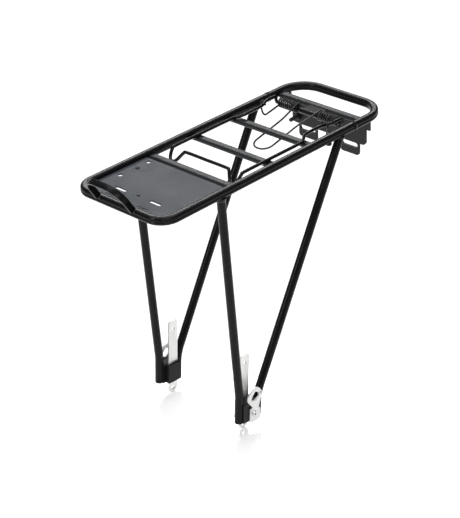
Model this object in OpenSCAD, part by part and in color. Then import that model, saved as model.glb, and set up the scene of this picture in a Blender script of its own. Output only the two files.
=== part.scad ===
// Rear rack of a bicycle: a welded tube deck on four stays, with a sprung wire flap,
// a front plate with a stop hoop, and adjustable steel strips at the feet.
// X points forward, Y to the rider's left, Z up. Millimetres.
// The origin lies midway between the two dropout holes.

/* [Deck] */
// Outside width of the deck
deck_w = 142.2; // [138:0.2:146]
// Outside length of the deck
deck_len = 375.2; // [370:0.2:385]
// Height of the middle of the deck tube above the dropout holes
deck_h = 313.5; // [302:0.1:326]
// How far the front tube stands forward of the dropout holes
front_reach = 115.9; // [112:0.1:120]
// Width of the deck tube
tube_w = 9; // [8.5:0.1:9.5]
// Height of the deck tube
tube_h = 10.2; // [9.8:0.1:10.6]
// Bend radius of the front corners, on the tube's middle
front_bend = 20; // [18:1:24]
// Bend radius of the rear corners, on the tube's middle
rear_bend = 32; // [28:1:36]

/* [Stays and feet] */
// Diameter of the stay tubes
stay_d = 10; // [9.6:0.1:10.4]
// Wall of the stay tubes
stay_wall = 1.4; // [1:0.1:2]
// Distance from the middle plane to the middle of each stay
stay_y = 66.2; // [65.8:0.1:66.6]
// Angle by which the feet lean
foot_lean = 5; // [4:0.5:6]
// Width of the dropout strip
strip_w = 14; // [13:0.1:15]
// Diameter of the hole that the dropout bolt passes through
dropout_hole_d = 5.5; // [5:0.1:6]

/* [Flap and spring] */
// Diameter of the flap wire
flap_wire_d = 4; // [3.6:0.1:4]
// Diameter of the spring wire
spring_wire_d = 2.3; // [2:0.1:2.3]
// Turns in each half of the spring
spring_turns = 8.5; // [6.5:1:8.5]

/* [Plates] */
// Thickness of the front plate
plate_t = 1.8; // [1.4:0.1:2]
// Thickness of the tail plate
tail_t = 2.4; // [2:0.1:3]
// Spacing of the two slots in the tail plate
tail_slot_gap = 66; // [62:0.5:68]

/* [Hidden] */
$fn = 48;

// Deck: it is drawn from an origin of its own, deck_front behind its front face, at the
// height of the middle of its tube. rail_y is the middle of a rail.
deck_front = 117.8;
deck_x = front_reach - deck_front;
rail_y = deck_w / 2 - tube_w / 2;
rail_in = rail_y - tube_w / 2;
front_x = deck_front - tube_w / 2;
rear_x = deck_front - deck_len + tube_w / 2;
tube_r = 3.5;
groove_w = 3;
groove_depth = 0.7;
seam_x = -194;

// Crossbars: where each one's middle lies, front to rear.
bar_x = [4.2, -63.2, -126.3, -213.9];
bar_w = 10;
bar_h = 6;
bar_r = 2.5;
bar_top = 0.5;

// Feet: x along the foot's own lean, z up it, from the dropout hole.
front_tube = 15.4;
rear_tube = -15.4;
tube_end = 10;
front_kink = 44;
rear_kink = 37;
front_top_x = 26.6;
rear_top_x = -173.2;
clamp_low = 10;
clamp_high = 34;
clamp_t = 1.6;
clamp_half = 14.4;
clamp_split = 0.3;
channel_half = 10.3;
channel_in = 54.2;
channel_t = 3;
screw_x = -1.1;
screw_z = 19;
screw_d = 4.8;
screw_hole_d = 5.2;
strip_t = 2.2;
strip_y = 57.6;
strip_top = 91.8;
strip_slot_w = 5.6;
anchor_y = stay_y + stay_d / 2 + clamp_t;
anchor_t = 2;

// Flap: the axis that it turns about, and how far out its stubs lie.
pivot = [-191.9, -1.7];
sleeve_d = 6.6;
sleeve_half = 14.8;
sleeve_bore_d = flap_wire_d + 0.1;
coil_r = 5.2;
coil_z = 0;
coil_y0 = 17;
coil_y1 = 45.2;
hook_y = 47.8;

// Tail plate.
tail_x = -228.3;
tail_low = -41;
tab_low = -57;
slot_z = -44.5;
slot_len = 23.6;
slot_w = 5.9;

function arc(c, r, a0, a1, n = 6) =
    [for (i = [0 : n]) c + r * [cos(a0 + (a1 - a0) * i / n), sin(a0 + (a1 - a0) * i / n)]];
function round_rect(w, h, r, n = 5) = concat(
    arc([w / 2 - r, h / 2 - r], r, 0, 90, n), arc([r - w / 2, h / 2 - r], r, 90, 180, n),
    arc([r - w / 2, r - h / 2], r, 180, 270, n), arc([w / 2 - r, r - h / 2], r, 270, 360, n));
// A point of the foot, given along and up its lean, in the rack's frame.
function foot_point(p) = [p[0] * cos(foot_lean) - p[1] * sin(foot_lean),
    p[0] * sin(foot_lean) + p[1] * cos(foot_lean)];

module on_deck() { translate([deck_x, 0, deck_h]) children(); }
module both_sides() { children(); mirror([0, 1, 0]) children(); }
// A slot with round ends, of a given overall length.
module long_slot(len, w) {
    square([len - w, w], center = true);
    for (s = [-1, 1]) translate([s * (len - w) / 2, 0]) circle(d = w);
}
module in_foot() { rotate([0, -foot_lean, 0]) children(); }
// A flat outline in x and z becomes a plate that lies between two y values.
module plate_y(y0, y1) {
    translate([0, y1, 0]) rotate([90, 0, 0]) linear_extrude(y1 - y0) children();
}
// An outline in y and z becomes a bar that runs along x.
module bar_along_x(x0, x1) {
    translate([x0, 0, 0]) rotate([90, 0, 90]) linear_extrude(x1 - x0) children();
}

// A straight piece of round bar between two points.
module rod(a, b, r) {
    v = b - a;
    translate(a) rotate([0, acos(v[2] / norm(v)), atan2(v[1], v[0])]) cylinder(h = norm(v), r = r);
}
// A round wire that follows points, with a ball at each bend.
module wire(points, d) {
    for (i = [0 : len(points) - 2]) rod(points[i], points[i + 1], d / 2);
    for (i = [1 : len(points) - 2]) translate(points[i]) sphere(r = d / 2 + 0.03);
}
// A round wire swept along many close points, as one closed skin.
function unit(v) = v / norm(v);
function across(v, t) = unit(v - (v * t) * t);
function tangents(p) = [for (i = [0 : len(p) - 1])
    unit(p[min(i + 1, len(p) - 1)] - p[max(i - 1, 0)])];
module swept_wire(p, d, first_side, sides = 6) {
    t = tangents(p);
    n = len(p);
    side = [for (i = 0, s = across(first_side, t[0]); i < n; i = i + 1,
        s = across(s, t[min(i, n - 1)])) s];
    rings = [for (i = [0 : n - 1]) for (k = [0 : sides - 1])
        let (a = 360 * k / sides) p[i] + d / 2 * (cos(a) * side[i] + sin(a) * cross(t[i], side[i]))];
    walls = [for (i = [0 : n - 2]) for (k = [0 : sides - 1]) let (m = (k + 1) % sides)
        each [[i * sides + k, (i + 1) * sides + k, (i + 1) * sides + m],
              [i * sides + k, (i + 1) * sides + m, i * sides + m]]];
    caps = [[for (k = [0 : sides - 1]) k], [for (k = [sides - 1 : -1 : 0]) (n - 1) * sides + k]];
    polyhedron(rings, concat(walls, caps));
}

// ---- Deck ----
module tube_section() {
    polygon(concat(
        arc([tube_w / 2 - tube_r, tube_r - tube_h / 2], tube_r, -90, 0, 5),
        [[tube_w / 2, -groove_w / 2], [tube_w / 2 - groove_depth, -groove_w / 6],
         [tube_w / 2 - groove_depth, groove_w / 6], [tube_w / 2, groove_w / 2]],
        arc([tube_w / 2 - tube_r, tube_h / 2 - tube_r], tube_r, 0, 90, 5),
        arc([tube_r - tube_w / 2, tube_h / 2 - tube_r], tube_r, 90, 180, 5),
        arc([tube_r - tube_w / 2, tube_r - tube_h / 2], tube_r, 180, 270, 5)));
}
module rail(x0, x1) { translate([0, rail_y, 0]) bar_along_x(x0, x1) tube_section(); }
module corner(x, bend) {
    translate([x, rail_y - bend, 0]) rotate_extrude(angle = 90) translate([bend, 0]) tube_section();
}
module cross_tube(x, bend) {
    translate([x, rail_y - bend, 0]) rotate([90, 0, 0])
        linear_extrude(2 * (rail_y - bend)) tube_section();
}
module front_loop_shape() {
    both_sides() {
        rail(seam_x, front_x - front_bend);
        corner(front_x - front_bend, front_bend);
    }
    cross_tube(front_x, front_bend);
}
module rear_bow_shape() {
    both_sides() {
        rail(rear_x + rear_bend, seam_x);
        mirror([1, 0, 0]) corner(-rear_x - rear_bend, rear_bend);
    }
    mirror([1, 0, 0]) cross_tube(-rear_x, rear_bend);
}
module front_loop() { color("#1d1e20") on_deck() front_loop_shape(); }
module rear_bow() { color("#1d1e20") on_deck() rear_bow_shape(); }

module bow_welds() {
    bead = 0.45;
    color("#242528") on_deck() both_sides() difference() {
        translate([0, rail_y, 0]) bar_along_x(seam_x - 1.5, seam_x + 1.5)
            polygon(round_rect(tube_w + 2 * bead, tube_h + 2 * bead, tube_r + bead));
        rail(seam_x - 2, seam_x);
        rail(seam_x, seam_x + 2);
    }
}

module crossbar(x) {
    bite = 1;
    color("#3a3c40") on_deck() difference() {
        translate([x, rail_in + bite, bar_top - bar_h / 2]) rotate([90, 0, 0])
            linear_extrude(2 * (rail_in + bite)) polygon(round_rect(bar_w, bar_h, bar_r));
        both_sides() rail(x - bar_w, x + bar_w);
    }
}
module front_crossbar() { crossbar(bar_x[0]); }
module second_crossbar() { crossbar(bar_x[1]); }
module third_crossbar() { crossbar(bar_x[2]); }
module rear_crossbar() { crossbar(bar_x[3]); }

// ---- Front plate and stop hoop ----
module front_plate() {
    rear_edge = 13.2;
    front_edge = front_x - tube_w / 2 - 0.5;
    rear_r = 3;
    corner_r = front_bend - tube_w / 2;
    slot_x = 85.2;
    slot_y = 26.6;
    vent_x = 101.7;
    color("#55575c") on_deck() translate([0, 0, 0.3 - plate_t]) linear_extrude(plate_t) difference() {
        polygon(concat(
            arc([front_edge - corner_r, rail_in - corner_r], corner_r, 0, 90),
            arc([rear_edge + rear_r, rail_in - rear_r], rear_r, 90, 180),
            arc([rear_edge + rear_r, rear_r - rail_in], rear_r, 180, 270),
            arc([front_edge - corner_r, corner_r - rail_in], corner_r, 270, 360)));
        for (p = [[20.5, -51], [39.2, -49], [62.5, -52]]) translate(p) circle(d = 6);
        translate([84.5, 0]) circle(d = 4);
        for (s = [-1, 1]) translate([slot_x, s * slot_y]) rotate(90) long_slot(17.5, 4.5);
        for (s = [-1, 1]) translate([vent_x, s * 25.5]) rotate(90) long_slot(15, 1.6);
    }
}

hoop_lean = 32;
hoop_w = 7.5;
hoop_t = 2.5;
hoop_half = 28;
hoop_rise = 38.5;
hoop_bend = 20;
module hoop_shape() {
    foot = -4;
    inner = hoop_bend - hoop_t;
    cy = hoop_half - hoop_bend;
    cz = hoop_rise - hoop_bend;
    translate([deck_front + 1.6, 0, 0]) rotate([0, hoop_lean, 0]) bar_along_x(-hoop_w, 0)
        polygon(concat([[hoop_half, foot]],
            arc([cy, cz], hoop_bend, 0, 90, 8), arc([-cy, cz], hoop_bend, 90, 180, 8),
            [[-hoop_half, foot], [hoop_t - hoop_half, foot]],
            arc([-cy, cz], inner, 180, 90, 8), arc([cy, cz], inner, 90, 0, 8),
            [[hoop_half - hoop_t, foot]]));
}
module stop_hoop() {
    color("#1d1e20") on_deck() difference() {
        hoop_shape();
        cross_tube(front_x, front_bend);
    }
}
module hoop_welds() {
    r = 1.7;
    half = 2.6;
    color("#242528") on_deck() difference() {
        for (s = [-1, 1])
            wire([for (y = [-half - r, -half, half, half + r])
                [deck_front + 0.2, s * (hoop_half - hoop_t / 2) + y, 4.2]], 2 * r);
        hoop_shape();
        cross_tube(front_x, front_bend);
    }
}

// ---- Stays ----
module stay_rod(end, kink, top, r, past) {
    e = foot_point(end - [0, past]);
    k = foot_point(kink);
    wire([[e[0], stay_y, e[1]], [k[0], stay_y, k[1]], [deck_x + top, stay_y, deck_h]], 2 * r);
}
module stay(x, kink, top) {
    difference() {
        stay_rod([x, tube_end], [x, kink], top, stay_d / 2, 0);
        stay_rod([x, tube_end], [x, kink], top, stay_d / 2 - stay_wall, 1);
        on_deck() rail(top - 2 * stay_d, top + 2 * stay_d);
        on_deck() translate([top - stay_d, rail_y - tube_w, 0.3 - plate_t])
            cube([2 * stay_d, 2 * tube_w, stay_d]);
    }
}
module left_front_stay() { color("#1d1e20") stay(front_tube, front_kink, front_top_x); }
module left_rear_stay() { color("#1d1e20") stay(rear_tube, rear_kink, rear_top_x); }
module right_front_stay() { mirror([0, 1, 0]) left_front_stay(); }
module right_rear_stay() { mirror([0, 1, 0]) left_rear_stay(); }

// A low cone of weld round the top of each stay.
module stay_weld(x, kink, top) {
    k = foot_point([x, kink]);
    head = [deck_x + top, stay_y, deck_h];
    tilt = atan2(head[0] - k[0], deck_h - k[1]);
    difference() {
        translate(head) rotate([0, tilt, 0]) translate([0, 0, -8.6])
            cylinder(h = 5.2, r1 = stay_d / 2 + 0.15, r2 = stay_d / 2 + 1.2);
        rod([k[0], stay_y, k[1]], head, stay_d / 2);
        on_deck() rail(top - 2 * stay_d, top + 2 * stay_d);
        on_deck() translate([top - stay_d, rail_y - tube_w, 1.2 - tube_h / 2])
            cube([2 * stay_d, 2 * tube_w, stay_d]);
    }
}
module stay_welds() {
    color("#242528") both_sides() {
        stay_weld(front_tube, front_kink, front_top_x);
        stay_weld(rear_tube, rear_kink, rear_top_x);
    }
}

// ---- Feet ----
module stay_circles() {
    for (x = [front_tube, rear_tube]) translate([x, stay_y]) circle(r = stay_d / 2);
}
module between_stays(half, y0, y1) { translate([-half, y0]) square([2 * half, y1 - y0]); }
module clamp_bar() {
    translate([0, 0, clamp_low]) linear_extrude(clamp_high - clamp_low) children();
}
// A hole for the clamp screw, from outside the foot in to a given y.
module screw_hole(d, y) {
    translate([screw_x, 90, screw_z]) rotate([90, 0, 0]) cylinder(h = 90 - y, d = d);
}
screw_tip = channel_in + 0.6;
module inner_clamp() {
    flange_in = stay_y - stay_d / 2 - clamp_t;
    in_foot() difference() {
        clamp_bar() difference() {
            union() {
                between_stays(channel_half, channel_in, stay_y - clamp_split);
                between_stays(clamp_half, flange_in, stay_y - clamp_split);
            }
            between_stays(channel_half - clamp_t, channel_in + channel_t, stay_y);
            stay_circles();
        }
        screw_hole(screw_d, screw_tip);
    }
}
module outer_clamp() {
    wall = stay_y + stay_d / 2;
    in_foot() difference() {
        clamp_bar() difference() {
            between_stays(clamp_half, stay_y + clamp_split, wall + clamp_t);
            between_stays(channel_half - clamp_t, stay_y, wall);
            stay_circles();
        }
        screw_hole(screw_hole_d, stay_y);
    }
}
module left_inner_clamp() { color("#26272a") inner_clamp(); }
module right_inner_clamp() { color("#26272a") mirror([0, 1, 0]) inner_clamp(); }
module left_outer_clamp() { color("#26272a") outer_clamp(); }
module right_outer_clamp() { color("#26272a") mirror([0, 1, 0]) outer_clamp(); }

module clamp_pads() {
    color("#1d1e20") both_sides() in_foot() difference() {
        translate([0, 0, 1]) linear_extrude(clamp_high - 1) difference() {
            between_stays(channel_half - clamp_t - 0.3, strip_y + strip_t + 0.3, stay_y + stay_d / 2);
            stay_circles();
        }
        translate([-stay_d, strip_y, 0]) cube([2 * stay_d, 2 * stay_d, clamp_low + 1]);
        screw_hole(screw_hole_d, strip_y);
    }
}
module clamp_screws() {
    head_r = 3.7;
    head_h = 2.3;
    color("#c9cbce") both_sides() in_foot() translate([screw_x, 0, screw_z]) {
        translate([0, anchor_y + anchor_t, 0]) rotate([90, 0, 0])
            cylinder(h = anchor_y + anchor_t - screw_tip, d = screw_d);
        difference() {
            translate([0, anchor_y + anchor_t + head_h, 0]) rotate([90, 0, 0])
                cylinder(h = head_h, r1 = head_r - 0.9, r2 = head_r);
            translate([0, anchor_y + anchor_t + head_h + 1, 0]) rotate([90, 0, 0])
                cylinder(h = 2.4, r = 1.7, $fn = 6);
        }
    }
}

// Steel plate that the luggage strap hooks on to.
module strap_anchor() {
    outline = concat(
        arc([-3.8, 44.5], 8, 140, 55, 4), arc([3.4, 40.6], 6.8, 40, -45, 5),
        [[1.2, 27.6], [5.4, 26.6], [5.4, 9.4], [4, 8], [-10.4, 8], [-11.8, 9.4],
         [-11.8, 22.4], [-9, 24.6]],
        arc([-8.4, 40.6], 6.8, 235, 150, 5));
    opening = [[-2.5, 47.7], [-8.1, 44.7], [-8.6, 39.4], [-2.6, 35.6], [4.2, 36.9], [2, 43]];
    in_foot() difference() {
        plate_y(anchor_y, anchor_y + anchor_t) difference() {
            polygon(outline);
            polygon(opening);
            translate([-11.6, 43.2]) circle(r = 1.5);
        }
        screw_hole(screw_hole_d, stay_y);
    }
}
module left_strap_anchor() { color("#d9dbde") strap_anchor(); }
module right_strap_anchor() { color("#d9dbde") mirror([0, 1, 0]) strap_anchor(); }

module strip() {
    half = strip_w / 2;
    top_r = 4;
    slot_low = 14.4;
    slot_high = 31;
    in_foot() difference() {
        plate_y(strip_y, strip_y + strip_t) difference() {
            polygon(concat(arc([0, 0], half, 180, 360, 12),
                arc([half - top_r, strip_top - top_r], top_r, 0, 90, 4),
                arc([top_r - half, strip_top - top_r], top_r, 90, 180, 4)));
            translate([screw_x, (slot_low + slot_high) / 2]) rotate(90)
                long_slot(slot_high - slot_low + strip_slot_w, strip_slot_w);
            translate([0, 81]) circle(d = 4.4);
        }
        translate([0, 90, 0]) rotate([90, 0, 0]) cylinder(h = 50, d = dropout_hole_d);
    }
}
module left_strip() { color("#e2e4e6") strip(); }
module right_strip() { color("#e2e4e6") mirror([0, 1, 0]) strip(); }

// ---- Flap, pivot and spring ----
module along_pivot(half, d) {
    translate([pivot[0], half, pivot[1]]) rotate([90, 0, 0]) cylinder(h = 2 * half, d = d);
}
module pivot_sleeve() {
    color("#2c2d30") on_deck() difference() {
        along_pivot(sleeve_half, sleeve_d);
        along_pivot(sleeve_half + 1, sleeve_bore_d);
    }
}
module sleeve_bracket() {
    half = 13;
    t = 2;
    bar_front = bar_x[3] + bar_w / 2;
    color("#26272a") on_deck() difference() {
        translate([bar_front - 1, -half, pivot[1] - t / 2]) cube([pivot[0] - bar_front, 2 * half, t]);
        along_pivot(sleeve_half + 1, sleeve_d);
        translate([bar_x[3], half + 1, bar_top - bar_h / 2]) rotate([90, 0, 0])
            linear_extrude(2 * half + 2) polygon(round_rect(bar_w, bar_h, bar_r));
    }
}

// One half of the spring's coil, from the leg at its inner end to its outer end.
coil_steps = 12;
function coil(turns) = [for (i = [0 : turns * coil_steps]) let (a = 90 + 360 * i / coil_steps)
    [pivot[0] + coil_r * cos(a), coil_y0 + (coil_y1 - coil_y0) * i / (turns * coil_steps),
     coil_z + coil_r * sin(a)]];
loop_y = 12.6;
loop_front = -103;
loop_drop = -14;
loop_r = 12;
function loop_z(x) = coil_z + coil_r + (loop_drop - coil_z - coil_r) * (x - pivot[0])
    / (loop_front - pivot[0]);
// The loop that joins the two coils, from one leg to the middle of its front.
function loop_half() = concat(
    [for (x = [pivot[0] + 4, pivot[0] + 18]) [x, coil_y0 - 0.13 * (x - pivot[0]), loop_z(x)]],
    [for (x = [pivot[0] + 34, loop_front - 30]) [x, loop_y, loop_z(x)]],
    [for (a = [0 : 30 : 90]) let (x = loop_front - loop_r + loop_r * sin(a))
        [x, loop_y - loop_r + loop_r * cos(a), loop_z(x)]]);
function flip_y(p) = [for (v = p) [v[0], -v[1], v[2]]];
function backwards(p) = [for (i = [len(p) - 1 : -1 : 0]) p[i]];
module torsion_spring() {
    half = concat(backwards(coil(spring_turns)), loop_half());
    color("#3b3c40") on_deck()
        swept_wire(concat(half, backwards(flip_y(half))), spring_wire_d, [0, 1, 0]);
}

// The coil's outer end, which goes down, forward and up over the flap's arm.
module spring_hooks() {
    overlap = 100;
    steps = 10;
    end = concat(
        [for (i = [0 : steps]) let (a = -90 - overlap * (1 - i / steps))
            [pivot[0] + coil_r * cos(a), hook_y, coil_z + coil_r * sin(a)]],
        [[-175, 47.8, -8.2], [-169.5, 48.2, -9.2], [-167, 49, -8], [-165.9, 50.4, -4],
         [-165.6, 51.5, 1.5], [-165.4, 51.7, 5.8], [-165.2, 50.5, 8.8], [-165, 47.6, 9.8],
         [-164.8, 44.7, 8.6], [-164.6, 43.6, 5.6]]);
    color("#3b3c40") on_deck() both_sides() swept_wire(end, spring_wire_d, [0, 1, 0]);
}

// The bent part of the flap, from the middle of its front to where a stub starts.
stub_y = 51.4;
wire_bend = 3;
arm_z = 6.2;
function flap_arm() = [[-20.3, 0, 2.3], [-20.3, 30, 2.3], [-19.2, 35, 1], [-14, 40.6, -6.6],
    [-11.6, 44.4, -9.2], [-11.6, 48.8, -8.6], [-14.8, 52, -4.6], [-20.2, 53.5, 1.6],
    [-25, 53.5, 2.8], [-70, 53.5, 2.8], [-116, 53.5, 2.8], [-124, 51, 3.2], [-131, 46.8, 4.6],
    [-138, 45.6, 5.4], [-156, 45.6, 5.6], [-163, 46.6, 5.6], [-172, 50.4, 5.9],
    [-178, stub_y, arm_z], [-184, stub_y, arm_z]];
function flap_heel() = concat(
    [for (a = [0 : 30 : 90]) [pivot[0] + wire_bend * (1 - sin(a)), stub_y,
        arm_z + wire_bend * (cos(a) - 1)]],
    [for (a = [0 : 30 : 90]) [pivot[0], stub_y + wire_bend * (cos(a) - 1),
        pivot[1] + wire_bend * (1 - sin(a))]],
    [[pivot[0], stub_y - wire_bend - 1, pivot[1]]]);
// A smooth curve through points, with extra points worked out between each pair.
function between(a, b, c, d, t) = 0.5 * ((2 * b) + (c - a) * t + (2 * a - 5 * b + 4 * c - d) * t * t
    + (3 * b - a - 3 * c + d) * t * t * t);
function smooth(p, n) = let (m = len(p) - 1) concat(
    [for (i = [0 : m - 1]) for (j = [0 : n - 1])
        between(p[max(i - 1, 0)], p[i], p[i + 1], p[min(i + 2, m)], j / n)],
    [p[m]]);
module flap_wire() {
    half = concat(smooth(flap_arm(), 2), flap_heel());
    bent = concat(backwards(flip_y(half)), [for (i = [1 : len(half) - 1]) half[i]]);
    color("#232427") on_deck() swept_wire(bent, flap_wire_d, [0, 0, 1], 8);
}
// The straight ends of the flap wire, which turn in the sleeve.
module flap_stubs() {
    stub_in = 3;
    color("#232427") on_deck() both_sides()
        translate([pivot[0], stub_in, pivot[1]]) rotate([-90, 0, 0])
            cylinder(h = stub_y - wire_bend - 1 - stub_in, d = flap_wire_d);
}

// ---- Tail plate ----
module tail_plate() {
    half = 57.5;
    top = -12;
    low_r = 5;
    tab = [18.4, 47.3];
    tab_r = 4;
    ear = [60, 63.5];
    ear_low = -20;
    ear_top = -4;
    color("#3d3e42") on_deck() difference() {
        bar_along_x(tail_x - tail_t / 2, tail_x + tail_t / 2) both_halves() difference() {
            polygon(concat([[-1, top], [ear[0], top], [ear[0], ear_top], [ear[1], ear_top],
                    [ear[1], ear_low], [half, ear_low]],
                arc([half - low_r, tail_low + low_r], low_r, 0, -90, 4), [[tab[1], tail_low]],
                arc([tab[1] - tab_r, tab_low + tab_r], tab_r, 0, -90, 4),
                arc([tab[0] + tab_r, tab_low + tab_r], tab_r, 270, 180, 4),
                [[tab[0], tail_low], [-1, tail_low]]));
            translate([tail_slot_gap / 2, slot_z]) long_slot(slot_len, slot_w);
        }
        rear_bow_shape();
    }
}
module both_halves() { children(); mirror([1, 0]) children(); }
module tail_bolt() {
    color("#26272a") on_deck() translate([tail_x + tail_t / 2, -48, -32]) rotate([0, 90, 0]) {
        cylinder(h = 3.4, r = 4.4, $fn = 6);
        translate([0, 0, 3.4]) cylinder(h = 11.6, d = 5);
    }
}
module rail_screws() {
    color("#26272a") on_deck() both_sides() difference() {
        translate([-150.3, rail_y, -tube_h / 2 - 2.8]) {
            cylinder(h = 2, r = 3.4);
            cylinder(h = 4.2, d = 4);
        }
        rail(-160, -140);
    }
}

front_loop();
rear_bow();
bow_welds();
front_crossbar();
second_crossbar();
third_crossbar();
rear_crossbar();
front_plate();
stop_hoop();
hoop_welds();
left_front_stay();
left_rear_stay();
right_front_stay();
right_rear_stay();
stay_welds();
left_inner_clamp();
right_inner_clamp();
left_outer_clamp();
right_outer_clamp();
clamp_pads();
clamp_screws();
left_strap_anchor();
right_strap_anchor();
left_strip();
right_strip();
pivot_sleeve();
sleeve_bracket();
torsion_spring();
spring_hooks();
flap_wire();
flap_stubs();
tail_plate();
tail_bolt();
rail_screws();
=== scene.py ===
import bpy
import math
from mathutils import Matrix, Vector


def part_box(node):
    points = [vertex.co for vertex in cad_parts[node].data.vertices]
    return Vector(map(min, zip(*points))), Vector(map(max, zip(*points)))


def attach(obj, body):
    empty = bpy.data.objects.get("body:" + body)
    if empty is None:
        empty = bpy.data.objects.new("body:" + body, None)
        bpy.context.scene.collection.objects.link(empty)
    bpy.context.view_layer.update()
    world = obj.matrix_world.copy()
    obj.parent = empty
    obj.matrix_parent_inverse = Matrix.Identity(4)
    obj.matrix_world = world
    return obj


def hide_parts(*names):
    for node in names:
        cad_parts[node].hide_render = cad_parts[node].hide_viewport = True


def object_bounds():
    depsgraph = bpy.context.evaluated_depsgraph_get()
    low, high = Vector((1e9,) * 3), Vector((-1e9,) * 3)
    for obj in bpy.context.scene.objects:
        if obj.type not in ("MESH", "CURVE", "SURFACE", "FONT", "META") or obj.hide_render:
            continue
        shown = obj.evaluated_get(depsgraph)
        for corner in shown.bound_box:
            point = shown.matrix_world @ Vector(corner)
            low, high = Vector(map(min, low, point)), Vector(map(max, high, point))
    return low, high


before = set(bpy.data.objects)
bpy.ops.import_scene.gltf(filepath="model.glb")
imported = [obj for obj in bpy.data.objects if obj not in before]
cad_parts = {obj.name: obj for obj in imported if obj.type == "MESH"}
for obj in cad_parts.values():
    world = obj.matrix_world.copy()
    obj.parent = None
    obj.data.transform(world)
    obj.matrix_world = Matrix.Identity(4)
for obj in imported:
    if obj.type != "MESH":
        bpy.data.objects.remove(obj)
cad_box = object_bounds()

# ---- Camera ----
# A long lens looks down on the rack from in front and to its left, a little off level. It
# stands about two metres off, so the deck's far end draws in only slightly.
view_turn = math.radians(44.958)
view_height = math.radians(29.386)
view_roll = math.radians(-2.888)
camera_place = Vector((1.1078, 1.1571, 1.0994))
lens_length = 112.44
sensor_width = 36

camera_data = bpy.data.cameras.new("rack_camera")
camera_data.lens = lens_length
camera_data.sensor_width = sensor_width
camera = bpy.data.objects.new("rack_camera", camera_data)
bpy.context.scene.collection.objects.link(camera)
back = Vector((math.cos(view_height) * math.cos(view_turn),
               math.cos(view_height) * math.sin(view_turn), math.sin(view_height)))
right = (-back).cross(Vector((0, 0, 1))).normalized()
up = right.cross(-back)
tilted_right = math.cos(view_roll) * right + math.sin(view_roll) * up
tilted_up = -math.sin(view_roll) * right + math.cos(view_roll) * up
camera.matrix_world = Matrix.Translation(camera_place) @ Matrix(
    (tilted_right, tilted_up, back)).transposed().to_4x4()
bpy.context.scene.camera = camera

# ---- Studio ----
# A white cyclorama: a pale floor, a soft grey surround, one broad softbox overhead, and three
# narrow ones that draw the long highlights along the tubes.
bpy.context.scene.view_settings.view_transform = "Standard"
surround_strength = 0.2
lights_aim = Vector((-0.05, 0, 0.2))


def linear(hex_colour):
    """An sRGB hex colour as the linear colour that a shader takes."""
    parts = [int(hex_colour[i:i + 2], 16) / 255 for i in (1, 3, 5)]
    return tuple(c / 12.92 if c <= 0.04045 else ((c + 0.055) / 1.055) ** 2.4
                 for c in parts) + (1.0,)


def add_node(tree, kind, settings=None, links=None):
    """Adds one shader node, sets its values or properties, and links its inputs."""
    node = tree.nodes.new(kind)
    for key, value in (settings or {}).items():
        if isinstance(key, int) or key in node.inputs:
            node.inputs[key].default_value = value
        else:
            setattr(node, key, value)
    for key, source in (links or {}).items():
        tree.links.new(source, node.inputs[key])
    return node


def new_material(name):
    """An empty node material, and the tree that the caller's shader goes in."""
    material = bpy.data.materials.new(name)
    material.use_nodes = True
    material.node_tree.nodes.clear()
    return material, material.node_tree


world = bpy.data.worlds.new("grey_surround")
bpy.context.scene.world = world
world.use_nodes = True
surround = world.node_tree.nodes["Background"]
surround.inputs["Color"].default_value = linear("#fbfcff")
surround.inputs["Strength"].default_value = surround_strength


def softbox(name, place, wide, deep, power):
    """A rectangular softbox that faces the middle of the rack."""
    data = bpy.data.lights.new(name, "AREA")
    data.shape = "RECTANGLE"
    data.size = wide
    data.size_y = deep
    data.energy = power
    light = bpy.data.objects.new(name, data)
    bpy.context.scene.collection.objects.link(light)
    light.location = place
    light.rotation_euler = (lights_aim - light.location).to_track_quat("-Z", "Y").to_euler()


softbox("overhead_softbox", Vector((-0.2, -0.2, 2.0)), 1.8, 1.8, 30)
softbox("near_strip_light", Vector((0.9, 1.7, 1.5)), 1.4, 0.3, 12)
softbox("front_strip_light", Vector((1.8, -0.3, 1.2)), 0.3, 1.2, 12)
softbox("rear_strip_light", Vector((-1.4, -1.2, 1.3)), 1.4, 0.3, 13)

floor_glow = 0.3
floor_reach = 6


def studio_floor():
    """White laminate with a faint gloss, lit from below, so the feet mirror softly in it."""
    material, tree = new_material("white_floor")
    shader = add_node(tree, "ShaderNodeBsdfPrincipled", {
        "Base Color": linear("#f4f4f4"), "Roughness": 0.08, "Specular IOR Level": 0.6,
        "Emission Color": linear("#ffffff"), "Emission Strength": floor_glow})
    add_node(tree, "ShaderNodeOutputMaterial", links={"Surface": shader.outputs[0]})
    return material


floor_z = cad_box[0].z
floor_mesh = bpy.data.meshes.new("studio_floor")
floor_corners = [(-floor_reach, -floor_reach, floor_z), (floor_reach, -floor_reach, floor_z),
                 (floor_reach, floor_reach, floor_z), (-floor_reach, floor_reach, floor_z)]
floor_mesh.from_pydata(floor_corners, [], [(0, 1, 2, 3)])
floor = bpy.data.objects.new("studio_floor", floor_mesh)
bpy.context.scene.collection.objects.link(floor)
floor_mesh.materials.append(studio_floor())

# ---- Deck tube ----
# Two bent lengths of drawn steel tube, flat-sided with rounded corners and a shallow rolled
# groove round the outside: a long front loop and a short rear bow, butt-welded together.
mm = 0.001


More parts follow.
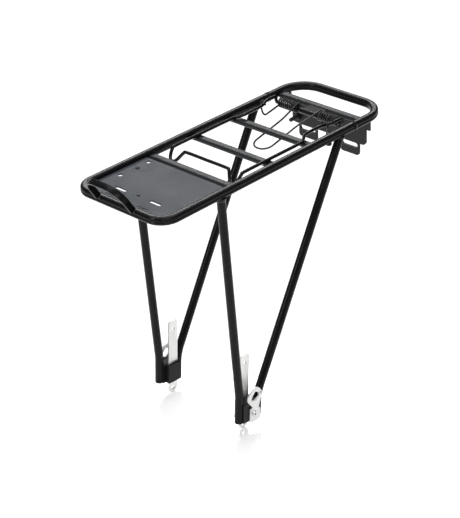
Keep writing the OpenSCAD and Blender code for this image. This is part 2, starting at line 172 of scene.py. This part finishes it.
def satin_powder_coat(name, colour, rough, pebble, shine=0.16):
    """Black polyester powder coat, sprayed and baked: satin, with a faint orange peel
    about 1 mm across and a finer grain that breaks up the highlights."""
    peel_size = 1.0 * mm
    grain_size = 0.25 * mm
    drift_size = 35 * mm
    material, tree = new_material(name)
    place = add_node(tree, "ShaderNodeTexCoord")
    peel = add_node(tree, "ShaderNodeTexNoise", {"Scale": 1 / peel_size, "Detail": 2.0},
                    {"Vector": place.outputs["Object"]})
    grain = add_node(tree, "ShaderNodeTexNoise", {"Scale": 1 / grain_size, "Detail": 1.0},
                     {"Vector": place.outputs["Object"]})
    drift = add_node(tree, "ShaderNodeTexNoise", {"Scale": 1 / drift_size, "Detail": 3.0},
                     {"Vector": place.outputs["Object"]})
    base = linear(colour)
    dusty = tuple(min(1, c * 1.5 + 0.002) for c in base[:3]) + (1.0,)
    tint = add_node(tree, "ShaderNodeMix", {"data_type": "RGBA", 6: base, 7: dusty},
                    {"Factor": drift.outputs["Fac"]})
    gloss = add_node(tree, "ShaderNodeMapRange", {
        "From Min": 0.3, "From Max": 0.7, "To Min": rough - 0.04, "To Max": rough + 0.06},
        {"Value": drift.outputs["Fac"]})
    heights = add_node(tree, "ShaderNodeMath", {"operation": "MULTIPLY_ADD", 1: 0.35},
                       {0: grain.outputs["Fac"], 2: peel.outputs["Fac"]})
    bump = add_node(tree, "ShaderNodeBump", {"Strength": pebble, "Distance": 0.2 * mm},
                    {"Height": heights.outputs[0]})
    shader = add_node(tree, "ShaderNodeBsdfPrincipled", {
        "IOR": 1.5, "Specular IOR Level": shine},
        {"Base Color": tint.outputs[2], "Roughness": gloss.outputs[0],
         "Normal": bump.outputs[0]})
    add_node(tree, "ShaderNodeOutputMaterial", links={"Surface": shader.outputs[0]})
    return material


def rings_along(path, section, up):
    """Places a flat section across a path at each of its points, kept from twisting."""
    rings = []
    for i, point in enumerate(path):
        ahead = (path[min(i + 1, len(path) - 1)] - path[max(i - 1, 0)]).normalized()
        up = (up - up.dot(ahead) * ahead).normalized()
        side = ahead.cross(up)
        rings.append([point + a * side + b * up for a, b in section])
    return rings


def skin(name, rings, material, body, replaced, crease=35):
    """Joins rings of points into one smooth closed mesh, which rides on a body of the rack
    in place of the made parts it names."""
    count = len(rings[0])
    last = (len(rings) - 1) * count
    points = [p for ring in rings for p in ring]
    faces = [(i * count + k, i * count + (k + 1) % count, (i + 1) * count + (k + 1) % count,
              (i + 1) * count + k) for i in range(len(rings) - 1) for k in range(count)]
    faces.append(tuple(range(count))[::-1])
    faces.append(tuple(last + k for k in range(count)))
    mesh = bpy.data.meshes.new(name)
    mesh.from_pydata(points, [], faces)
    mesh.update()
    mesh.polygons.foreach_set("use_smooth", [True] * len(mesh.polygons))
    mesh.set_sharp_from_angle(angle=math.radians(crease))
    piece = bpy.data.objects.new(name, mesh)
    bpy.context.scene.collection.objects.link(piece)
    mesh.materials.append(material)
    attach(piece, body)
    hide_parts(*replaced)


def arc_points(centre, radius, start, end, steps):
    """Points of a flat arc, as pairs, with its angles in degrees."""
    turns = [math.radians(start + (end - start) * i / steps) for i in range(steps + 1)]
    return [(centre[0] + radius * math.cos(t), centre[1] + radius * math.sin(t)) for t in turns]


def rounded_section(across, tall, corner, steps, groove=()):
    """A four-sided section with round corners, given the half distances between the corners'
    centres. A groove may be let into its outer side."""
    return (arc_points((across, -tall), corner, -90, 0, steps) + list(groove)
            + arc_points((across, tall), corner, 0, 90, steps)
            + arc_points((-across, tall), corner, 90, 180, steps)
            + arc_points((-across, -tall), corner, 180, 270, steps))


loop_low, loop_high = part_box("front_loop")
bow_end_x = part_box("rear_bow")[0].x
deck_z = (loop_low.z + loop_high.z) / 2
tube_w = 9 * mm
tube_h = loop_high.z - loop_low.z
tube_corner = 3.4 * mm
groove_half = 1.5 * mm
groove_deep = 0.7 * mm
front_bend = 20 * mm
rear_bend = 32 * mm
rail_y = loop_high.y - tube_w / 2
seam_x = loop_low.x
flat_half = tube_w / 2 - tube_corner
side_half = tube_h / 2 - tube_corner
groove = [(tube_w / 2 - sink * groove_deep, lift * groove_half) for sink, lift in (
    (0, -1), (0.6, -0.75), (1, -0.3), (1, 0.3), (0.6, 0.75), (0, 1))]
tube_section = rounded_section(flat_half, side_half, tube_corner, 6, groove)


def deck_path(end_x, bend, sense):
    """The middle line of a U of deck tube: sense is 1 for the front loop, -1 for the bow."""
    x = end_x - sense * (tube_w / 2 + bend)
    y = rail_y - bend
    first, middle, last = (-90, 0, 90) if sense > 0 else (90, 180, 270)
    near = arc_points((x, -sense * y), bend, first, middle, 14)
    far = arc_points((x, sense * y), bend, middle, last, 14)
    flat = [(seam_x, -sense * rail_y)] + near + far + [(seam_x, sense * rail_y)]
    return [Vector((p[0], p[1], deck_z)) for p in flat]


tube_black = satin_powder_coat("satin_black_tube", "#09090b", 0.26, 0.03)
upright = Vector((0, 0, 1))
skin("front_loop_tube", rings_along(deck_path(loop_high.x, front_bend, 1), tube_section, upright),
     tube_black, "frame", ["front_loop"])
skin("rear_bow_tube", rings_along(deck_path(bow_end_x, rear_bend, -1), tube_section, upright),
     tube_black, "frame", ["rear_bow"])

# ---- Weld beads ----
# Arc welds laid by hand under the coating: round each butt seam of the deck tube, round the
# head of each stay and along the feet of the hoop.


def finish_part(node, material, edge):
    """Gives one made part its finish, and rounds its edges by a fraction of a millimetre."""
    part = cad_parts[node]
    for place in part.material_slots:
        place.material = material
    if not part.material_slots:
        part.data.materials.append(material)
    weld = part.modifiers.new("one_skin", "WELD")
    weld.merge_threshold = 0.002 * mm
    if edge:
        bevel = part.modifiers.new("broken_edge", "BEVEL")
        bevel.width = edge
        bevel.segments = 2
        bevel.limit_method = "ANGLE"
        bevel.angle_limit = math.radians(40)
        flats = part.modifiers.new("true_flats", "WEIGHTED_NORMAL")
        flats.weight = 100
    part.data.polygons.foreach_set("use_smooth", [True] * len(part.data.polygons))


def coated_bead(name):
    """Weld bead under powder coat: black, glossier than the tube, in 1.5 mm ripples."""
    ripple_size = 1.5 * mm
    material, tree = new_material(name)
    place = add_node(tree, "ShaderNodeTexCoord")
    ripples = add_node(tree, "ShaderNodeTexVoronoi", {"Scale": 1 / ripple_size},
                       {"Vector": place.outputs["Object"]})
    bump = add_node(tree, "ShaderNodeBump", {"Strength": 0.7, "Distance": 0.3 * mm},
                    {"Height": ripples.outputs["Distance"]})
    shader = add_node(tree, "ShaderNodeBsdfPrincipled", {
        "Base Color": linear("#0b0b0d"), "Roughness": 0.22, "Specular IOR Level": 0.25},
        {"Normal": bump.outputs[0]})
    add_node(tree, "ShaderNodeOutputMaterial", links={"Surface": shader.outputs[0]})
    return material


bead_black = coated_bead("coated_weld_bead")
for beads in ("bow_welds", "hoop_welds", "stay_welds"):
    finish_part(beads, bead_black, 0)

# ---- Crossbars ----
# Four lengths of flat-oval tube, welded between the rails a little below their tops.
bar_corner = 2.5 * mm
bar_bite = 0.6 * mm
bar_black = satin_powder_coat("satin_black_crossbar", "#131518", 0.42, 0.05, 0.3)
for bar in ("front_crossbar", "second_crossbar", "third_crossbar", "rear_crossbar"):
    low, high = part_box(bar)
    across = (high.x - low.x) / 2 - bar_corner
    tall = (high.z - low.z) / 2 - bar_corner
    oval = rounded_section(across, tall, bar_corner, 7)
    middle = (low + high) / 2
    reach = high.y - bar_bite
    ends = [Vector((middle.x, side * reach, middle.z)) for side in (-1, -0.5, 0, 0.5, 1)]
    skin(bar + "_tube", rings_along(ends, oval, upright), bar_black, "frame",
         [bar])

# ---- Front plate and tail plate ----
# Pressed steel sheet, pierced and coated: the front plate is let into the deck flush with the
# tubes, and the tail plate hangs under the rear bow, with slots for a lamp.
plate_grey = satin_powder_coat("textured_grey_plate", "#2a2e34", 0.5, 0.2, 0.3)
finish_part("front_plate", plate_grey, 0.3 * mm)
tail_grey = satin_powder_coat("satin_grey_tail", "#1e1e20", 0.42, 0.15, 0.25)
finish_part("tail_plate", tail_grey, 0.3 * mm)

# ---- Stop hoop ----
# Flat steel bar bent across its thin side into a low arch, leaned forward over the front tube
# and welded to it, with its sharp edges dressed.
hoop_low, hoop_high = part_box("stop_hoop")
hoop_lean = math.radians(32)
hoop_w = 7.5 * mm
hoop_t = 2.5 * mm
hoop_rise = 38.5 * mm
hoop_bend = 20 * mm
hoop_edge = 0.5 * mm
hoop_ahead = 1.6 * mm
hoop_root = 3 * mm
hoop_half = (hoop_high.y - hoop_low.y) / 2
hoop_foot = Vector((loop_high.x + hoop_ahead, 0, deck_z))
hoop_turn = Matrix.Rotation(hoop_lean, 3, "Y")
forward = Vector((1, 0, 0))
hoop_line = hoop_bend - hoop_t / 2
hoop_side = hoop_half - hoop_bend
hoop_top = hoop_rise - hoop_bend
hoop_flat = ([(hoop_half - hoop_t / 2, hoop_root)]
             + arc_points((hoop_side, hoop_top), hoop_line, 0, 90, 16)
             + arc_points((-hoop_side, hoop_top), hoop_line, 90, 180, 16)
             + [(hoop_t / 2 - hoop_half, hoop_root)])
hoop_path = [hoop_foot + hoop_turn @ Vector((-hoop_w / 2, y, z)) for y, z in hoop_flat]
edge_in = hoop_t / 2 - hoop_edge
wide_in = hoop_w / 2 - hoop_edge
hoop_section = rounded_section(edge_in, wide_in, hoop_edge, 3)
skin("stop_hoop_bar", rings_along(hoop_path, hoop_section, hoop_turn @ forward),
     tube_black, "frame", ["stop_hoop"])

# ---- Stays ----
# Round steel tube, sawn square and left open at the foot, bent once just above the clamps
# and welded under the rails. The rear pair rake back.
stay_r = 5 * mm
stay_bore = stay_r - 1.4 * mm
stay_y = 66.2 * mm
stay_bend = 60 * mm
stay_foot = 10 * mm
stay_sunk = 4 * mm
bore_deep = 14 * mm
saw_edge = 0.3 * mm
round_steps = 24
foot_lean = math.radians(5)
deck_front = 117.8 * mm
deck_x = loop_high.x - deck_front


def circle(radius, steps):
    """A round section of a given radius."""
    return arc_points((0, 0), radius, 0, 360 * (1 - 1 / steps), steps - 1)


def foot_point(along, height, y):
    """A point of the leaning foot, measured along and up it from the dropout hole."""
    return Vector((along * math.cos(foot_lean) - height * math.sin(foot_lean), y,
                   along * math.sin(foot_lean) + height * math.cos(foot_lean)))


def eased(start, corner, end, radius, steps):
    """Two straight runs joined by a round bend of a given radius."""
    back_way = (start - corner).normalized()
    on_way = (end - corner).normalized()
    half_turn = back_way.angle(on_way) / 2
    run = radius / math.tan(half_turn)
    first, last = corner + run * back_way, corner + run * on_way
    bent = [first.lerp(corner, t).lerp(corner.lerp(last, t), t)
            for t in (i / steps for i in range(steps + 1))]
    return [start] + bent + [end]


def turned(foot, axis, toward, profile, steps):
    """Rings of a turned shape: its profile gives each ring's radius and place on the axis."""
    toward = (toward - toward.dot(axis) * axis).normalized()
    aside = axis.cross(toward)
    return [[foot + axis * place + a * aside + b * toward for a, b in circle(radius, steps)]
            for radius, place in profile]


# Each stay's place along the foot, the height of its bend, and its head along the deck.
stay_lines = {"front_stay": (15.4 * mm, 44 * mm, 26.6 * mm),
              "rear_stay": (-15.4 * mm, 37 * mm, -173.2 * mm)}
for hand, y in (("left", stay_y), ("right", -stay_y)):
    for stay, (along, kink, top_x) in stay_lines.items():
        foot = foot_point(along, stay_foot, y)
        bend = foot_point(along, kink, y)
        head = Vector((deck_x + top_x, y, deck_z))
        head = head + (bend - head).normalized() * stay_sunk
        axis = (bend - foot).normalized()
        open_end = turned(foot, axis, forward, [(stay_bore, bore_deep), (stay_bore, saw_edge),
                          (stay_bore + saw_edge, 0), (stay_r - saw_edge, 0)], round_steps)
        wall = rings_along(eased(foot + saw_edge * axis, bend, head, stay_bend, 8),
                           circle(stay_r, round_steps), forward)
        skin(hand + "_" + stay + "_tube", open_end + wall, tube_black, "frame",
             [hand + "_" + stay])

# ---- Foot clamps ----
# Two aluminium extrusions grip each pair of stays, coated black, with a nylon block between
# them that the strip slides against.


def moulded_nylon(name):
    """Black glass-filled nylon from a mould: matt, with a fine spark-eroded texture."""
    spark_size = 0.5 * mm
    material, tree = new_material(name)
    place = add_node(tree, "ShaderNodeTexCoord")
    spark = add_node(tree, "ShaderNodeTexNoise", {"Scale": 1 / spark_size, "Detail": 3.0},
                     {"Vector": place.outputs["Object"]})
    bump = add_node(tree, "ShaderNodeBump", {"Strength": 0.3, "Distance": 0.1 * mm},
                    {"Height": spark.outputs["Fac"]})
    shader = add_node(tree, "ShaderNodeBsdfPrincipled", {
        "Base Color": linear("#151516"), "Roughness": 0.6, "IOR": 1.53},
        {"Normal": bump.outputs[0]})
    add_node(tree, "ShaderNodeOutputMaterial", links={"Surface": shader.outputs[0]})
    return material


clamp_black = satin_powder_coat("satin_black_clamp", "#0d0d0f", 0.36, 0.04, 0.2)
for hand in ("left", "right"):
    finish_part(hand + "_inner_clamp", clamp_black, 0.3 * mm)
    finish_part(hand + "_outer_clamp", clamp_black, 0.3 * mm)
finish_part("clamp_pads", moulded_nylon("black_nylon_pad"), 0.4 * mm)

# ---- Strips, strap anchors and clamp screws ----
# Mild steel strip and pressed plate, bright zinc plated, and button-head screws of the same
# finish that go through the anchor, the block and the strip's slot.


def zinc_plate(name, pale, bright, rough, grain_length):
    """Bright zinc plating on rolled steel: a pale metal that keeps the rolling grain, with
    faint cloudy spangle a few millimetres across."""
    grain_width = 0.8 * mm
    spangle_size = 6 * mm
    material, tree = new_material(name)
    place = add_node(tree, "ShaderNodeTexCoord")
    stretch = add_node(tree, "ShaderNodeMapping", {
        "Scale": (1 / grain_width, 1 / grain_width, 1 / grain_length)},
        {"Vector": place.outputs["Object"]})
    streaks = add_node(tree, "ShaderNodeTexNoise", {"Scale": 1.0, "Detail": 4.0},
                       {"Vector": stretch.outputs[0]})
    cloud = add_node(tree, "ShaderNodeTexNoise", {"Scale": 1 / spangle_size, "Detail": 3.0},
                     {"Vector": place.outputs["Object"]})
    mixed = add_node(tree, "ShaderNodeMath", {"operation": "MULTIPLY_ADD", 1: 0.5},
                     {0: streaks.outputs["Fac"], 2: cloud.outputs["Fac"]})
    tint = add_node(tree, "ShaderNodeMix", {
        "data_type": "RGBA", 6: linear(pale), 7: linear(bright)},
        {"Factor": mixed.outputs[0]})
    gloss = add_node(tree, "ShaderNodeMapRange", {
        "From Min": 0.45, "From Max": 1.05, "To Min": rough - 0.06, "To Max": rough + 0.08},
        {"Value": mixed.outputs[0]})
    bump = add_node(tree, "ShaderNodeBump", {"Strength": 0.08, "Distance": 0.05 * mm},
                    {"Height": streaks.outputs["Fac"]})
    shader = add_node(tree, "ShaderNodeBsdfPrincipled", {"Metallic": 1.0},
                      {"Base Color": tint.outputs[2], "Roughness": gloss.outputs[0],
                       "Normal": bump.outputs[0]})
    add_node(tree, "ShaderNodeOutputMaterial", links={"Surface": shader.outputs[0]})
    return material


strip_zinc = zinc_plate("bright_zinc_strip", "#e8e9e9", "#fbfbf8", 0.5, 30 * mm)
anchor_zinc = zinc_plate("bright_zinc_anchor", "#cbccce", "#ebebe8", 0.45, 4 * mm)
screw_zinc = zinc_plate("bright_zinc_screw", "#c6c8ca", "#e8e8e6", 0.26, 1 * mm)
for hand in ("left", "right"):
    finish_part(hand + "_strip", strip_zinc, 0.25 * mm)
    finish_part(hand + "_strap_anchor", anchor_zinc, 0.35 * mm)
finish_part("clamp_screws", screw_zinc, 0.25 * mm)

# ---- Flap ----
# One length of 4 mm spring wire, bent to a U with a toe at each front corner and a heel at
# each rear one, coated gloss black. Its two ends turn in a sleeve.
wire_r = 2 * mm
wire_steps = 14
deck_origin = Vector((deck_x, 0, deck_z))


def on_deck(x, y, z):
    """A point of the deck, in millimetres from the deck's own origin."""
    return deck_origin + Vector((x, y, z)) * mm


def curve_through(points, steps):
    """A smooth curve through points, with extra points worked out between each pair."""
    last = len(points) - 1
    path = []
    for i in range(last):
        a, b = points[max(i - 1, 0)], points[i]
        c, d = points[i + 1], points[min(i + 2, last)]
        for t in (j / steps for j in range(steps)):
            path.append(0.5 * (2 * b + (c - a) * t + (2 * a - 5 * b + 4 * c - d) * t * t
                               + (3 * b - a - 3 * c + d) * t * t * t))
    return path + [points[last]]


def mirrored(path):
    """The same path on the other side of the rack."""
    return [Vector((p.x, -p.y, p.z)) for p in path]


pivot_x = -191.9
pivot_z = -1.7
stub_y = 51.4
arm_z = 6.2
heel = 3
arm = [on_deck(*p) for p in (
    (-20.3, 0, 2.3), (-20.3, 30, 2.3), (-19.2, 35, 1), (-14, 40.6, -6.6), (-11.6, 44.4, -9.2),
    (-11.6, 48.8, -8.6), (-14.8, 52, -4.6), (-20.2, 53.5, 1.6), (-25, 53.5, 2.8),
    (-70, 53.5, 2.8), (-116, 53.5, 2.8), (-124, 51, 3.2), (-131, 46.8, 4.6), (-138, 45.6, 5.4),
    (-156, 45.6, 5.6), (-163, 46.6, 5.6), (-172, 50.4, 5.9), (-178, stub_y, arm_z),
    (-184, stub_y, arm_z))]
heel_down = [on_deck(x, stub_y, z) for x, z in arc_points(
    (pivot_x + heel, arm_z - heel), heel, 90, 180, 6)]
heel_in = [on_deck(pivot_x, y, z) for y, z in arc_points(
    (stub_y - heel, pivot_z + heel), heel, 0, -90, 6)]
stub_end = [on_deck(pivot_x, y, pivot_z) for y in (stub_y - heel - 1, 28.4, 3)]
flap_half = curve_through(arm, 4) + heel_down + heel_in + stub_end
flap_path = mirrored(flap_half)[::-1] + flap_half[1:]
wire_black = satin_powder_coat("gloss_black_wire", "#09090a", 0.16, 0.04, 0.22)
skin("flap_bent_wire", rings_along(flap_path, circle(wire_r, wire_steps), forward),
     wire_black, "flap", ["flap_wire", "flap_stubs"])

# ---- Sleeve and its bracket ----
# A short steel tube that the flap's two ends turn in, held on a bent plate that is welded to
# the rear crossbar. Both are coated with the rest of the deck.
finish_part("pivot_sleeve", wire_black, 0.3 * mm)
bracket_black = satin_powder_coat("satin_black_bracket", "#060607", 0.45, 0.04, 0.1)
finish_part("sleeve_bracket", bracket_black, 0.3 * mm)

# ---- Torsion spring ----
# Two close coils of hard-drawn wire on one loop. The loop bears under the third crossbar, and
# the outer ends hook over the flap's arms and pull it shut.
spring_r = 1.15 * mm
coil_r = 5.2
coil_inner_y = 17
coil_outer_y = 45.2
coil_turns = 8.5
coil_steps = 28
spring_steps = 10
loop_y = 12.6
loop_front = -103
loop_drop = -14
loop_r = 12


def loop_z(x):
    """The loop falls evenly from the top of the coils to its front."""
    return coil_r + (loop_drop - coil_r) * (x - pivot_x) / (loop_front - pivot_x)


coil = []
for i in range(int(coil_turns * coil_steps), -1, -1):
    angle = math.radians(90 + 360 * i / coil_steps)
    y = coil_inner_y + (coil_outer_y - coil_inner_y) * i / (coil_turns * coil_steps)
    coil.append(on_deck(pivot_x + coil_r * math.cos(angle), y, coil_r * math.sin(angle)))
leg = ([on_deck(pivot_x + x, coil_inner_y - 0.13 * x, loop_z(pivot_x + x)) for x in (4, 18)]
       + [on_deck(x, loop_y, loop_z(x)) for x in (pivot_x + 34, loop_front - 30)]
       + [on_deck(loop_front - loop_r + x, loop_y - loop_r + y, loop_z(loop_front - loop_r + x))
          for y, x in arc_points((0, 0), loop_r, 0, 90, 8)])
spring_half = coil + curve_through(leg[:4], 3)[:-1] + leg[3:]
spring_path = spring_half + mirrored(spring_half)[::-1][1:]


def spring_wire(name):
    """Hard-drawn spring wire in a thin black coating: dark grey, with fine drawing lines
    that catch the light along each turn."""
    line_size = 0.7 * mm
    material, tree = new_material(name)
    place = add_node(tree, "ShaderNodeTexCoord")
    lines = add_node(tree, "ShaderNodeTexNoise", {"Scale": 1 / line_size, "Detail": 4.0},
                     {"Vector": place.outputs["Object"]})
    tint = add_node(tree, "ShaderNodeMix", {
        "data_type": "RGBA", 6: linear("#0a0a0b"), 7: linear("#111113")},
        {"Factor": lines.outputs["Fac"]})
    bump = add_node(tree, "ShaderNodeBump", {"Strength": 0.04, "Distance": 0.1 * mm},
                    {"Height": lines.outputs["Fac"]})
    shader = add_node(tree, "ShaderNodeBsdfPrincipled", {
        "Roughness": 0.34, "Specular IOR Level": 0.5},
        {"Base Color": tint.outputs[2], "Normal": bump.outputs[0]})
    add_node(tree, "ShaderNodeOutputMaterial", links={"Surface": shader.outputs[0]})
    return material


spring_black = spring_wire("black_spring_wire")
sideways = Vector((0, 1, 0))
skin("torsion_spring_wire", rings_along(spring_path, circle(spring_r, spring_steps), sideways),
     spring_black, "frame", ["torsion_spring"])

hook_y = 47.8
hook_arc = [on_deck(pivot_x + x, hook_y, z) for x, z in arc_points((0, 0), coil_r, -190, -90, 12)]
hook_rise = [on_deck(*p) for p in (
    (pivot_x, hook_y, -coil_r), (-175, hook_y, -8.2), (-169.5, 48.2, -9.2), (-167, 49, -8),
    (-165.9, 50.4, -4), (-165.6, 51.5, 1.5), (-165.4, 51.7, 5.8), (-165.2, 50.5, 8.8),
    (-165, 47.6, 9.8), (-164.8, 44.7, 8.6), (-164.6, 43.6, 5.6))]
hook_path = hook_arc[:-1] + curve_through(hook_rise, 4)
for hand, path in (("left", hook_path), ("right", mirrored(hook_path))):
    skin(hand + "_spring_hook", rings_along(path, circle(spring_r, spring_steps), sideways),
         spring_black, "flap", ["spring_hooks"])

# ---- Tail bolt and rail screws ----
# Blackened steel fasteners: a hexagon bolt with a full thread through the tail plate, and a
# round-head screw under each rail.


def blackened_steel(name):
    """Steel with a black oxide finish, lightly oiled: dark, half matt, a little mottled."""
    mottle_size = 2 * mm
    material, tree = new_material(name)
    place = add_node(tree, "ShaderNodeTexCoord")
    mottle = add_node(tree, "ShaderNodeTexNoise", {"Scale": 1 / mottle_size, "Detail": 3.0},
                      {"Vector": place.outputs["Object"]})
    gloss = add_node(tree, "ShaderNodeMapRange", {"To Min": 0.25, "To Max": 0.45},
                     {"Value": mottle.outputs["Fac"]})
    shader = add_node(tree, "ShaderNodeBsdfPrincipled", {
        "Base Color": linear("#1b1b1d"), "Metallic": 0.4, "Specular IOR Level": 0.5},
        {"Roughness": gloss.outputs[0]})
    add_node(tree, "ShaderNodeOutputMaterial", links={"Surface": shader.outputs[0]})
    return material


oxide_black = blackened_steel("black_oxide_steel")
finish_part("rail_screws", oxide_black, 0.3 * mm)
bolt_low, bolt_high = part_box("tail_bolt")
bolt_head = 3.4 * mm
bolt_r = 2.5 * mm
thread_pitch = 0.8 * mm
thread_deep = 0.35 * mm
hexagon_r = 4.4 * mm
chamfer = 0.4 * mm
bolt_foot = Vector((bolt_low.x, (bolt_low.y + bolt_high.y) / 2, (bolt_low.z + bolt_high.z) / 2))
thread_length = bolt_high.x - bolt_low.x - bolt_head
crests = int(thread_length / thread_pitch)
thread = [(bolt_r - thread_deep * (i % 2), bolt_head + i * thread_pitch / 2)
          for i in range(2 * crests)]
thread.append((bolt_r - thread_deep, bolt_high.x - bolt_low.x))
shank_rings = turned(bolt_foot, forward, upright, thread, round_steps)
skin("tail_bolt_thread", shank_rings, oxide_black, "frame", ["tail_bolt"],
     crease=60)
head_rings = turned(bolt_foot, forward, sideways, [
    (hexagon_r, 0), (hexagon_r, bolt_head - chamfer), (hexagon_r - chamfer, bolt_head)], 6)
skin("tail_bolt_head", head_rings, oxide_black, "frame", ["tail_bolt"])
